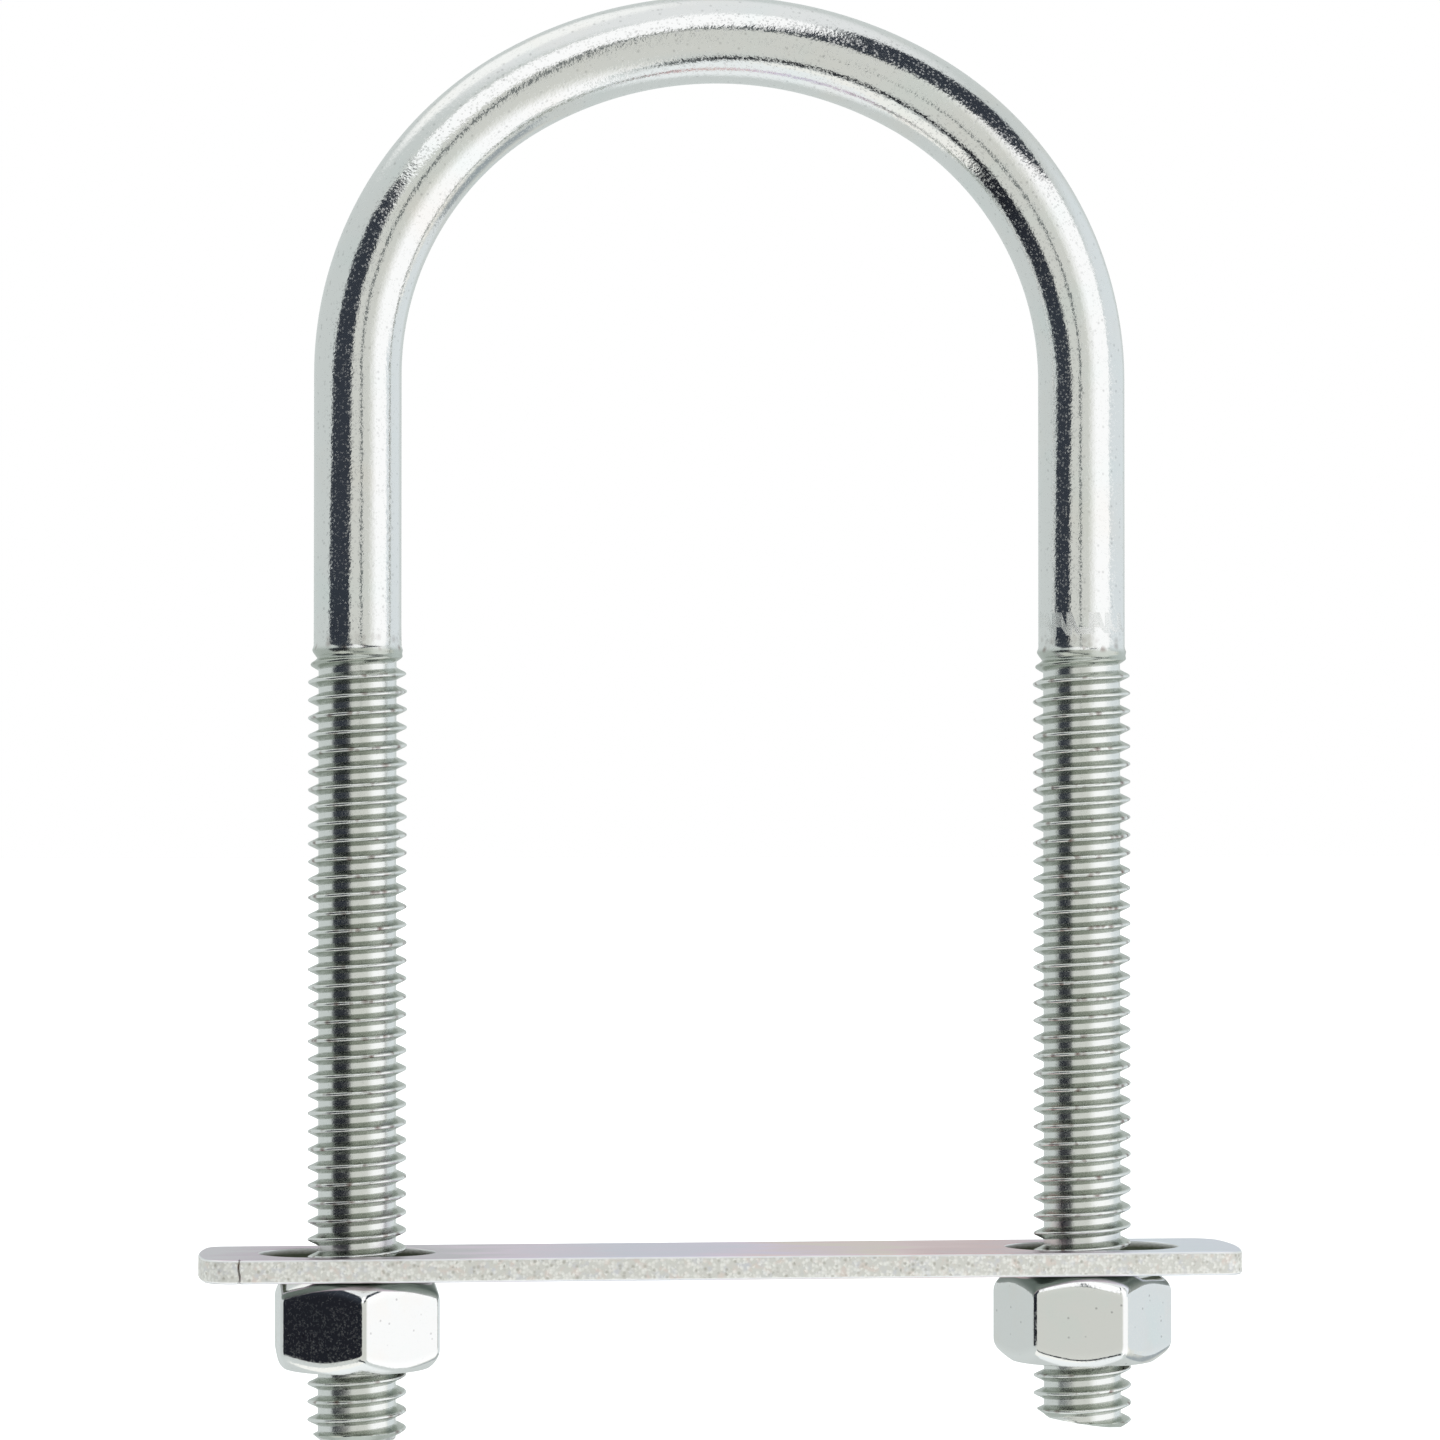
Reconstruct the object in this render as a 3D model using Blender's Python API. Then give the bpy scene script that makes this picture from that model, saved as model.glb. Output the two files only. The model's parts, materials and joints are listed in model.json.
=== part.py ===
"""U-bolt pad eye: a bent rod with two threaded legs, a slotted strap plate and two hex nuts.

Units are metres and +Z is up. The origin is on the ground midway between the leg ends, the legs
stand along X = -LEG_X and X = +LEG_X, and the whole bend lies in the XZ plane. Each sub-part is
one object whose origin is where it turns or slides, and all the threads are real helices that
stay in mesh while a nut climbs its leg.
"""

import math

import bmesh
import bpy
from mathutils import Vector

MM = 0.001

# ---- driving dimensions ---------------------------------------------------------------------
OVERALL_HEIGHT = 114.3 * MM         # leg ends to the top of the bend, 4 1/2 in
INSIDE_WIDTH = 50.8 * MM            # between the two shanks, 2 in
SHANK_DIAMETER = 6.88 * MM          # bare rod, the pitch diameter of a rolled 5/16-18 thread
CROWN_RADIUS = 31.7 * MM            # centreline radius over the top of the bend
SHOULDER_RADIUS = 26.1 * MM         # tighter centreline radius that turns into each leg

THREAD_PITCH = 25.4 / 18 * MM       # 18 threads per inch, right hand
THREAD_CREST_DIAMETER = 7.8 * MM
THREAD_ROOT_DIAMETER = 6.2 * MM
THREAD_LENGTH = 62.5 * MM           # from the leg end to where the thread runs out
LEG_TIP_DIAMETER = 5.2 * MM         # flat at the foot of the lead-in chamfer
LEAD_IN = 0.5 * MM                  # height of that chamfer under the first thread
LEG_FADE_TURNS = 1.5                # turns over which the thread grows and dies away

PLATE_LENGTH = 82.5 * MM            # 3 1/4 in
PLATE_WIDTH = 12.7 * MM             # 1/2 in
PLATE_THICKNESS = 1.9 * MM          # 14 gauge strip
PLATE_BOTTOM = 13.1 * MM            # height of the underside above the leg ends
PLATE_END_BOW = 0.8 * MM            # how far each sheared end swells out at its middle
PLATE_CORNER_RADIUS = 1.7 * MM
PLATE_EDGE_RADIUS = 0.25 * MM
SLOT_LENGTH = 13.9 * MM
SLOT_WIDTH = 8.9 * MM
SLOT_SPACING = 59.2 * MM            # between the slots' centres, a little over the leg spacing

NUT_ACROSS_FLATS = 12.45 * MM       # 1/2 in nominal
NUT_HEIGHT = 7.1 * MM
NUT_GAP = 0.3 * MM                  # between a nut's bearing face and the strap plate
NUT_CHAMFER_ANGLE = math.radians(35)
NUT_FACE_DIAMETER = 11.4 * MM       # flat bearing circle inside the chamfer
NUT_COUNTERSINK_DIAMETER = 8.5 * MM
NUT_THREAD_CLEARANCE = 0.15 * MM    # radial, between the nut's thread and the leg's
NUT_FACE_MARGIN = 0.1 * MM          # between a nut's faces and the ends of its thread
NUT_FADE_TURNS = 0.5                # turns over which the nut's thread grows
LEFT_NUT_TURN = math.radians(2.9)   # turn of a corner away from -Y
RIGHT_NUT_TURN = math.radians(18.3)

# ---- derived dimensions ---------------------------------------------------------------------
SHANK_RADIUS = SHANK_DIAMETER / 2
LEG_X = (INSIDE_WIDTH + SHANK_DIAMETER) / 2
CROWN_TOP = OVERALL_HEIGHT - SHANK_RADIUS
RADIUS_STEP = CROWN_RADIUS - SHOULDER_RADIUS
CROWN_HALF_ANGLE = math.asin((LEG_X - SHOULDER_RADIUS) / RADIUS_STEP)
CROWN_CENTRE_Z = CROWN_TOP - CROWN_RADIUS
SHOULDER_CENTRE_X = LEG_X - SHOULDER_RADIUS
SHOULDER_CENTRE_Z = CROWN_CENTRE_Z + RADIUS_STEP * math.cos(CROWN_HALF_ANGLE)
PLATE_TOP = PLATE_BOTTOM + PLATE_THICKNESS
NUT_TOP = PLATE_BOTTOM - NUT_GAP
NUT_BOTTOM = NUT_TOP - NUT_HEIGHT
THREAD_DEPTH = (THREAD_CREST_DIAMETER - THREAD_ROOT_DIAMETER) / 2

# ---- facets ---------------------------------------------------------------------------------
LEG_SIDES = 16                      # round the rod and its threads
NUT_SIDES = 24                      # round a nut, a multiple of its six flats
ARC_STEP = math.radians(5)          # along the bend
CORNER_STEPS = 4                    # round each corner of the strap plate
BOW_STEPS = 6                       # along each bowed end
SLOT_STEPS = 10                     # round each half-round slot end
MERGE = 1e-7                        # joins rings that were built in the same place


def clear_scene():
    for existing in list(bpy.data.objects):
        bpy.data.objects.remove(existing, do_unlink=True)


def metal(name, colour, roughness):
    """Zinc-plated steel with its own tint and gloss."""
    material = bpy.data.materials.new(name)
    material.use_nodes = True
    shader = material.node_tree.nodes["Principled BSDF"]
    shader.inputs["Base Color"].default_value = (*colour, 1.0)
    shader.inputs["Roughness"].default_value = roughness
    shader.inputs["Metallic"].default_value = 1.0
    return material


def finish_object(name, bm, material, location=(0.0, 0.0, 0.0), turn=0.0):
    """Turn a bmesh into a named, smooth-shaded object in the scene."""
    bmesh.ops.remove_doubles(bm, verts=bm.verts, dist=MERGE)
    bmesh.ops.recalc_face_normals(bm, faces=bm.faces)
    mesh = bpy.data.meshes.new(name)
    bm.to_mesh(mesh)
    bm.free()
    mesh.materials.append(material)
    mesh.shade_smooth()
    mesh.set_sharp_from_angle(angle=math.radians(35))
    part = bpy.data.objects.new(name, mesh)
    part.location = location
    part.rotation_euler = (0.0, 0.0, turn)
    bpy.context.scene.collection.objects.link(part)
    return part


def ring(bm, centre, radius, sides, across=Vector((1, 0, 0)), along=Vector((0, 1, 0))):
    """A circle of vertices in the plane of two unit vectors."""
    verts = []
    for step in range(sides):
        angle = 2 * math.pi * step / sides
        offset = radius * (math.cos(angle) * across + math.sin(angle) * along)
        verts.append(bm.verts.new(centre + offset))
    return verts


def bridge(bm, lower, upper):
    """Quads between two rings with the same number of vertices."""
    count = len(lower)
    for step in range(count):
        after = (step + 1) % count
        bm.faces.new((lower[step], lower[after], upper[after], upper[step]))


def helix(bm, centre_x, start_z, first_step, last_step, sides, valley_radius, peak_radius):
    """A right-hand thread: one valley line and one peak line that climb the axis together.

    The valley line is at height start_z where it passes angle 0. valley_radius and peak_radius
    are functions of the turns made since first_step. Returns the open edges at the bottom and
    at the top: one turn of the valley line, the upright column of vertices that closes the step
    where that turn ends, and the step at which it starts.
    """
    def line(lift, last, radius_at):
        verts = []
        for step in range(first_step, last + 1):
            angle = 2 * math.pi * step / sides
            radius = radius_at((step - first_step) / sides)
            z = start_z + lift + THREAD_PITCH * step / sides
            position = (centre_x + radius * math.cos(angle), radius * math.sin(angle), z)
            verts.append(bm.verts.new(position))
        return verts

    valley = line(0.0, last_step + sides, valley_radius)
    peak = line(THREAD_PITCH / 2, last_step, peak_radius)
    count = last_step - first_step
    for step in range(count):
        bm.faces.new((valley[step], valley[step + 1], peak[step + 1], peak[step]))
        bm.faces.new((peak[step], peak[step + 1], valley[step + 1 + sides], valley[step + sides]))
    bottom = (valley[: sides + 1], [valley[0], peak[0], valley[sides]], first_step)
    top = (valley[count:], [valley[count], peak[count], valley[count + sides]], last_step)
    return bottom, top


def close_helix(bm, end, flat_ring):
    """Join one end of a helix to a flat ring that has a vertex at each of its angles."""
    turn, column, first_step = end
    sides = len(flat_ring)
    for step in range(sides):
        here = flat_ring[(first_step + step) % sides]
        after = flat_ring[(first_step + step + 1) % sides]
        bm.faces.new((here, after, turn[step + 1], turn[step]))
    bm.faces.new([flat_ring[first_step % sides]] + column)


def grow(turn, last_turn, fade_turns):
    """How much of the thread's depth there is, from 0 at both ends to 1 in between."""
    return max(0.0, min(1.0, turn / fade_turns, (last_turn - turn) / fade_turns))


def threaded_leg(bm, centre_x):
    """One leg from its chamfered tip to the run-out; returns the ring where the shank starts."""
    turns = math.floor((THREAD_LENGTH - LEAD_IN) / THREAD_PITCH) - 1
    blank_radius = SHANK_RADIUS - 0.1 * THREAD_DEPTH
    root = THREAD_ROOT_DIAMETER / 2
    crest = THREAD_CREST_DIAMETER / 2

    def valley_radius(turn):
        return blank_radius + (root - blank_radius) * grow(turn, turns, LEG_FADE_TURNS)

    def peak_radius(turn):
        return blank_radius + (crest - blank_radius) * grow(turn, turns, LEG_FADE_TURNS)

    last_step = turns * LEG_SIDES
    bottom, top = helix(bm, centre_x, LEAD_IN, 0, last_step, LEG_SIDES, valley_radius, peak_radius)
    tip = ring(bm, Vector((centre_x, 0, 0)), LEG_TIP_DIAMETER / 2, LEG_SIDES)
    bm.faces.new(tip)
    close_helix(bm, bottom, tip)
    shank_start = ring(bm, Vector((centre_x, 0, THREAD_LENGTH)), SHANK_RADIUS, LEG_SIDES)
    close_helix(bm, top, shank_start)


def bend_route():
    """Centres and outward directions along the rod, from the left shank over to the right."""
    right_half = []
    crown_steps = math.ceil(CROWN_HALF_ANGLE / ARC_STEP)
    for step in range(crown_steps):
        angle = CROWN_HALF_ANGLE * step / crown_steps
        outward = Vector((math.sin(angle), 0, math.cos(angle)))
        right_half.append((Vector((0, 0, CROWN_CENTRE_Z)) + CROWN_RADIUS * outward, outward))
    shoulder_angle = math.pi / 2 - CROWN_HALF_ANGLE
    shoulder_steps = math.ceil(shoulder_angle / ARC_STEP)
    shoulder_centre = Vector((SHOULDER_CENTRE_X, 0, SHOULDER_CENTRE_Z))
    for step in range(shoulder_steps + 1):
        angle = CROWN_HALF_ANGLE + shoulder_angle * step / shoulder_steps
        outward = Vector((math.sin(angle), 0, math.cos(angle)))
        right_half.append((shoulder_centre + SHOULDER_RADIUS * outward, outward))
    right_half.append((Vector((LEG_X, 0, THREAD_LENGTH)), Vector((1, 0, 0))))
    left_half = [(Vector((-c.x, 0, c.z)), Vector((-o.x, 0, o.z))) for c, o in right_half[:0:-1]]
    return left_half + right_half


def make_u_bolt():
    """The rod: two threaded legs joined by the swept shank and bend."""
    bm = bmesh.new()
    threaded_leg(bm, -LEG_X)
    threaded_leg(bm, LEG_X)
    rings = [ring(bm, centre, SHANK_RADIUS, LEG_SIDES, outward) for centre, outward in bend_route()]
    for lower, upper in zip(rings, rings[1:]):
        bridge(bm, lower, upper)
    return finish_object("u_bolt", bm, metal("rod_zinc", (0.80, 0.82, 0.83), 0.16))


def arc_points(centre, radius, first_angle, last_angle, steps):
    """Points on an arc in the XY plane, both ends included."""
    points = []
    for step in range(steps + 1):
        angle = first_angle + (last_angle - first_angle) * step / steps
        points.append((centre[0] + radius * math.cos(angle), centre[1] + radius * math.sin(angle)))
    return points


def plate_outline():
    """The strip seen from above: straight sides, bowed ends and rounded corners."""
    half_length = PLATE_LENGTH / 2
    half_width = PLATE_WIDTH / 2
    bow_radius = (half_width ** 2 + PLATE_END_BOW ** 2) / (2 * PLATE_END_BOW)
    bow_centre_x = half_length - bow_radius
    corner_y = half_width - PLATE_CORNER_RADIUS
    corner_angle = math.asin(corner_y / (bow_radius - PLATE_CORNER_RADIUS))
    corner_x = bow_centre_x + (bow_radius - PLATE_CORNER_RADIUS) * math.cos(corner_angle)
    lower = arc_points((corner_x, -corner_y), PLATE_CORNER_RADIUS, -math.pi / 2, -corner_angle,
                       CORNER_STEPS)
    bow = arc_points((bow_centre_x, 0.0), bow_radius, -corner_angle, corner_angle, BOW_STEPS)
    upper = arc_points((corner_x, corner_y), PLATE_CORNER_RADIUS, corner_angle, math.pi / 2,
                       CORNER_STEPS)
    right_end = lower + bow[1:-1] + upper
    left_end = [(-x, -y) for x, y in right_end]
    return right_end + left_end


def slot_outline(centre_x):
    """A slot with half-round ends, its long way along the strip."""
    radius = SLOT_WIDTH / 2
    reach = SLOT_LENGTH / 2 - radius
    right = arc_points((centre_x + reach, 0.0), radius, -math.pi / 2, math.pi / 2, SLOT_STEPS)
    left = arc_points((centre_x - reach, 0.0), radius, math.pi / 2, 3 * math.pi / 2, SLOT_STEPS)
    return right + left


def make_strap_plate():
    """Flat strip with a slot for each leg; its origin is where it slides, on the centre line."""
    bm = bmesh.new()
    outlines = [plate_outline(), slot_outline(-SLOT_SPACING / 2), slot_outline(SLOT_SPACING / 2)]
    edges = []
    for outline in outlines:
        verts = [bm.verts.new((x, y, 0.0)) for x, y in outline]
        for vert, after in zip(verts, verts[1:] + verts[:1]):
            edges.append(bm.edges.new((vert, after)))
    bmesh.ops.triangle_fill(bm, edges=edges, use_beauty=True)
    flat = bmesh.ops.extrude_face_region(bm, geom=bm.faces[:])
    lifted = [item for item in flat["geom"] if isinstance(item, bmesh.types.BMVert)]
    bmesh.ops.translate(bm, verts=lifted, vec=(0.0, 0.0, PLATE_THICKNESS))
    material = metal("plate_zinc", (0.78, 0.77, 0.78), 0.32)
    plate = finish_object("strap_plate", bm, material, (0.0, 0.0, PLATE_BOTTOM))
    bevel = plate.modifiers.new("worn_edges", "BEVEL")
    bevel.width = PLATE_EDGE_RADIUS
    bevel.segments = 1
    bevel.limit_method = "ANGLE"
    bevel.angle_limit = math.radians(60)
    return plate


def hexagon_radius(angle):
    """Distance from the axis to the flats, for a hexagon with a corner at angle 0."""
    from_flat = (angle % (math.pi / 3)) - math.pi / 6
    return NUT_ACROSS_FLATS / 2 / math.cos(from_flat)


def nut_face_rings(bm, face_z, side):
    """Countersink mouth, bearing circle and chamfered rim of one end; side is +1 on top."""
    mouth = ring(bm, Vector((0, 0, face_z)), NUT_COUNTERSINK_DIAMETER / 2, NUT_SIDES)
    bearing = ring(bm, Vector((0, 0, face_z)), NUT_FACE_DIAMETER / 2, NUT_SIDES)
    rim = []
    for step in range(NUT_SIDES):
        angle = 2 * math.pi * step / NUT_SIDES
        radius = hexagon_radius(angle)
        drop = (radius - NUT_FACE_DIAMETER / 2) * math.tan(NUT_CHAMFER_ANGLE)
        position = (radius * math.cos(angle), radius * math.sin(angle), face_z - side * drop)
        rim.append(bm.verts.new(position))
    bridge(bm, mouth, bearing)
    bridge(bm, bearing, rim)
    return mouth, rim


def make_nut(name, centre_x, turn):
    """Hex nut, double chamfered, with a thread that meshes with its leg's."""
    bm = bmesh.new()
    lower_mouth, lower_rim = nut_face_rings(bm, 0.0, -1)
    upper_mouth, upper_rim = nut_face_rings(bm, NUT_HEIGHT, 1)
    bridge(bm, lower_rim, upper_rim)

    # The ridge line follows the leg's groove, turned back by the angle the nut is turned to.
    # It fills the bore from just inside one face to just inside the other, but stays out of
    # the leg's way over the first and the last turn, where a flat ring closes it.
    start_z = LEAD_IN - NUT_BOTTOM + THREAD_PITCH * turn / (2 * math.pi)
    step_height = THREAD_PITCH / NUT_SIDES
    first_step = math.ceil((NUT_FACE_MARGIN - start_z) / step_height)
    last_step = math.floor((NUT_HEIGHT - NUT_FACE_MARGIN - start_z) / step_height) - NUT_SIDES
    open_turns = (last_step - first_step) / NUT_SIDES
    groove_radius = THREAD_CREST_DIAMETER / 2 + NUT_THREAD_CLEARANCE

    def ridge_radius(turns_made):
        return groove_radius - THREAD_DEPTH * grow(turns_made - 1, open_turns - 1, NUT_FADE_TURNS)

    def constant_groove(turns_made):
        return groove_radius

    bottom, top = helix(bm, 0.0, start_z, first_step, last_step, NUT_SIDES, ridge_radius,
                        constant_groove)
    close_helix(bm, bottom, lower_mouth)
    close_helix(bm, top, upper_mouth)
    material = metal(name + "_zinc", (0.76, 0.79, 0.80), 0.12)
    return finish_object(name, bm, material, (centre_x, 0.0, NUT_BOTTOM), turn)


def main():
    clear_scene()
    make_u_bolt()
    make_strap_plate()
    corner_facing_front = -math.pi / 2
    make_nut("left_nut", -LEG_X, corner_facing_front + LEFT_NUT_TURN)
    make_nut("right_nut", LEG_X, corner_facing_front + RIGHT_NUT_TURN)


main()
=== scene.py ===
# %% [markdown]
# # A zinc-plated U-bolt with its strap plate and two hex nuts
# The part is four pieces of bright zinc-plated steel: a bent rod with a rolled thread on each leg,
# a strap punched from flat bar, and two hex nuts. Metal like this has almost no colour of its own.
# What the eye reads is the shape of what it reflects, so the lesson gives equal care to crisp
# meshes, to a small studio of white and black boards, and to finishes with a fine grain.
# Lengths are in metres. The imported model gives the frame, and each new piece goes where it says.

# %% Load the frame and measure it
import json
import math

import bmesh
import bpy
from mathutils import Matrix, Vector, noise


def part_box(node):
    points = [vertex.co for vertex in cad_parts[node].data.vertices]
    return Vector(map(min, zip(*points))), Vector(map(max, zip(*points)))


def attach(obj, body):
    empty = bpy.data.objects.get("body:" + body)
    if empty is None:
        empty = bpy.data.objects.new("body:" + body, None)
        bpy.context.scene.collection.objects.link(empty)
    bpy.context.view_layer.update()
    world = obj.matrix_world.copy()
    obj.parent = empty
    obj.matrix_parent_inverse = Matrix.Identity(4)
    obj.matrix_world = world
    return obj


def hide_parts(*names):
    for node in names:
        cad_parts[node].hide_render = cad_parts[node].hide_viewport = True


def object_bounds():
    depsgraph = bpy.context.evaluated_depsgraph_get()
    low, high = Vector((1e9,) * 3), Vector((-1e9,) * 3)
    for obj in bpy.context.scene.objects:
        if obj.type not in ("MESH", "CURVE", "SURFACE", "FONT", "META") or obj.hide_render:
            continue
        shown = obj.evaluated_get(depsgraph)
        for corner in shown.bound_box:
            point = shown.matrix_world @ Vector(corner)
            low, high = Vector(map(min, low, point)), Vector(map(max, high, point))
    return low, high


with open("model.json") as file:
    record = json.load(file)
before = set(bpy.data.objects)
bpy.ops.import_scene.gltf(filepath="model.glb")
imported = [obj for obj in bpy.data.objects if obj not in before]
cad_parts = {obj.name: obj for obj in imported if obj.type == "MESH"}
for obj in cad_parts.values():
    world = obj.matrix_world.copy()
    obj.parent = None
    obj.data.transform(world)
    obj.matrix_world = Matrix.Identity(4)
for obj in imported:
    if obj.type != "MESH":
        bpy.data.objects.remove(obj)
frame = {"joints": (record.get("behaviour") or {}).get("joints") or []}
cad_low, cad_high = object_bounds()

MM = 0.001
joint_places = {
    joint["name"]: Vector(joint["pos_m"]) for joint in frame["joints"] if "pos_m" in joint
}
plate_low, plate_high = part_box("strap_plate")
nut_low, nut_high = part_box("left_nut")
LEG_X = joint_places["right_nut_turn"].x
print("CAD box in mm:", [round(value / MM, 2) for value in (*cad_low, *cad_high)])
print("legs stand at x =", round(-LEG_X / MM, 2), "and", round(LEG_X / MM, 2), "mm")

# %% [markdown]
# ## The camera
# A long lens from a little to the left of the part and half way up it. Seen from there the top of
# the strap is a thin sliver, the strap's end shows at the left, and the two legs reflect slightly
# different parts of the studio. The camera is aimed with `to_track_quat`, which turns a direction
# into a rotation, so there are no angles to work out by hand.

# %% Place the camera
CAMERA_PLACE = Vector((-41.3, -404.9, 50.5)) * MM
CAMERA_AIM = Vector((-0.17, 0.0, 56.84)) * MM
LENS_MM = 128.4
SENSOR_MM = 36.0

lens = bpy.data.cameras.new("long_lens")
lens.lens = LENS_MM
lens.sensor_width = SENSOR_MM
lens.clip_start = 1 * MM
lens.clip_end = 20.0
camera = bpy.data.objects.new("camera", lens)
camera.location = CAMERA_PLACE
camera.rotation_mode = "QUATERNION"
camera.rotation_quaternion = (CAMERA_AIM - CAMERA_PLACE).to_track_quat("-Z", "Y")
bpy.context.scene.collection.objects.link(camera)
bpy.context.scene.camera = camera
print("camera stands", round((CAMERA_PLACE - CAMERA_AIM).length / MM, 1), "mm away")

# %% [markdown]
# ## The studio
# Shiny hardware is lit with boards rather than lamps: every band on the metal is the reflection
# of a board. The world gives the pale room. Boards are meshes with an Emission shader, seen by
# reflections only, so they never show in the frame or throw shadows on the floor. A wall board,
# close to the part, reads differently on the two legs, which an infinitely far world can't do.
# A sky board stands far off, so its place is just a compass turn and a height, and it shapes
# what the bend reflects. The Standard view transform keeps a white board plain white.

# %% Colour helper
def linear(red, green, blue):
    """Scene-linear colour from the 0-255 values that a colour picker shows."""
    channels = []
    for value in (red, green, blue):
        share = value / 255
        if share <= 0.04045:
            channels.append(share / 12.92)
        else:
            channels.append(((share + 0.055) / 1.055) ** 2.4)
    return channels


bpy.context.scene.view_settings.view_transform = "Standard"
bpy.context.scene.view_settings.look = "None"
ZINC_REFLECTANCE = 0.86
print("a light grey is", [round(value, 3) for value in linear(203, 204, 198)])

# %% Directions used to lay out the studio
TOWARDS_CAMERA = Vector((CAMERA_PLACE.x, CAMERA_PLACE.y, 0.0)).normalized()
UP = Vector((0.0, 0.0, 1.0))
RIGHT = UP.cross(TOWARDS_CAMERA)
print("right-hand direction:", [round(value, 3) for value in RIGHT])

# %% Node helpers
def link_value(tree, value, socket):
    """Feed a socket from another socket, or set it to a constant."""
    if isinstance(value, bpy.types.NodeSocket):
        tree.links.new(value, socket)
    else:
        socket.default_value = value


def math_node(tree, operation, first, second=0.0, clamp=False):
    """One Math node."""
    node = tree.nodes.new("ShaderNodeMath")
    node.operation = operation
    node.use_clamp = clamp
    link_value(tree, first, node.inputs[0])
    link_value(tree, second, node.inputs[1])
    return node.outputs["Value"]


def vector_math(tree, operation, first, second):
    """One Vector Math node; a dot product gives a number, anything else a vector."""
    node = tree.nodes.new("ShaderNodeVectorMath")
    node.operation = operation
    link_value(tree, first, node.inputs[0])
    link_value(tree, second, node.inputs[1])
    return node.outputs["Value" if operation == "DOT_PRODUCT" else "Vector"]


def map_range(tree, value, from_min, from_max, to_min=0.0, to_max=1.0):
    """Smooth remap of a value."""
    node = tree.nodes.new("ShaderNodeMapRange")
    node.interpolation_type = "SMOOTHSTEP"
    link_value(tree, value, node.inputs["Value"])
    node.inputs["From Min"].default_value = from_min
    node.inputs["From Max"].default_value = from_max
    link_value(tree, to_min, node.inputs["To Min"])
    link_value(tree, to_max, node.inputs["To Max"])
    return node.outputs["Result"]


# A Mix node has sockets for every data type; these are the numbers of the colour ones.
MIX_FACTOR = 0
MIX_FIRST = 6
MIX_SECOND = 7
MIX_RESULT = 2


def mixed(tree, mask, first, second):
    """Colour mix of two colours or colour sockets by a mask."""
    mix = tree.nodes.new("ShaderNodeMix")
    mix.data_type = "RGBA"
    link_value(tree, mask, mix.inputs[MIX_FACTOR])
    link_value(tree, first, mix.inputs[MIX_FIRST])
    link_value(tree, second, mix.inputs[MIX_SECOND])
    return mix.outputs[MIX_RESULT]


print("node helpers:", [tool.__name__ for tool in (math_node, vector_math, map_range, mixed)])

# %% The room: a world colour that depends on direction
def facing(tree, direction_socket, axis, start, end):
    """Mask that rises from 0 to 1 as a direction turns towards an axis."""
    return map_range(tree, vector_math(tree, "DOT_PRODUCT", direction_socket, axis), start, end)


def room_colour(red, green, blue):
    """Light colour that zinc reflects as the given colour."""
    return [value / ZINC_REFLECTANCE for value in linear(red, green, blue)] + [1.0]


world = bpy.data.worlds.new("studio_room")
world.use_nodes = True
bpy.context.scene.world = world
room = world.node_tree
room.nodes.clear()
direction = room.nodes.new("ShaderNodeTexCoord").outputs["Generated"]
TO_RIGHT_BACK = (0.93 * RIGHT - 0.36 * TOWARDS_CAMERA).normalized()
TO_HIGH_LEFT = -0.41 * RIGHT - 0.29 * TOWARDS_CAMERA + 0.87 * UP
front = facing(room, direction, TOWARDS_CAMERA, 0.45, 0.85)
right_back = facing(room, direction, TO_RIGHT_BACK, 0.72, 0.9)
high_left = facing(room, direction, TO_HIGH_LEFT, 0.9, 0.975)
overhead = facing(room, direction, UP, 0.75, 0.92)
underfoot = facing(room, direction, -UP, 0.84, 0.94)
colour = mixed(room, front, room_colour(195, 201, 200), room_colour(202, 204, 199))
colour = mixed(room, right_back, colour, room_colour(212, 219, 222))
colour = mixed(room, overhead, colour, room_colour(222, 225, 226))
colour = mixed(room, underfoot, colour, room_colour(230, 235, 236))
colour = mixed(room, high_left, colour, room_colour(242, 244, 243))
seen = room.nodes.new("ShaderNodeLightPath")
backdrop = mixed(room, seen.outputs["Is Camera Ray"], colour, [1.0, 1.0, 1.0, 1.0])
sky = room.nodes.new("ShaderNodeBackground")
room.links.new(backdrop, sky.inputs["Color"])
world_out = room.nodes.new("ShaderNodeOutputWorld")
room.links.new(sky.outputs["Background"], world_out.inputs["Surface"])
world.cycles.sampling_method = "NONE"
print("room has", len(room.nodes), "nodes")

# %% Boards: helpers
def board_material(name):
    """Emission that takes its colour from the mesh's own colour attribute."""
    material = bpy.data.materials.new(name)
    material.use_nodes = True
    tree = material.node_tree
    tree.nodes.clear()
    glow = tree.nodes.new("ShaderNodeAttribute")
    glow.attribute_name = "glow"
    emission = tree.nodes.new("ShaderNodeEmission")
    tree.links.new(glow.outputs["Color"], emission.inputs["Color"])
    out = tree.nodes.new("ShaderNodeOutputMaterial")
    tree.links.new(emission.outputs["Emission"], out.inputs["Surface"])
    material.cycles.emission_sampling = "NONE"
    return material


BOARD = board_material("studio_board")
SKY_ROWS = 4


def studio_board(name, rows, glow_rows):
    """A curved board through rows of points, each point with its own glow colour."""
    width = len(rows[0])
    points = [point for row in rows for point in row]
    faces = []
    for r in range(len(rows) - 1):
        for c in range(width - 1):
            a = r * width + c
            faces.append((a, a + 1, a + width + 1, a + width))
    mesh = bpy.data.meshes.new(name)
    mesh.from_pydata(points, [], faces)
    glow = mesh.attributes.new("glow", "FLOAT_COLOR", "POINT")
    colours = [channel for row in glow_rows for shade in row for channel in shade]
    glow.data.foreach_set("color", colours)
    mesh.materials.append(BOARD)
    board = bpy.data.objects.new(name, mesh)
    bpy.context.scene.collection.objects.link(board)
    board.visible_camera = False
    board.visible_diffuse = False
    board.visible_shadow = False
    board.visible_transmission = False
    return board


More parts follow.
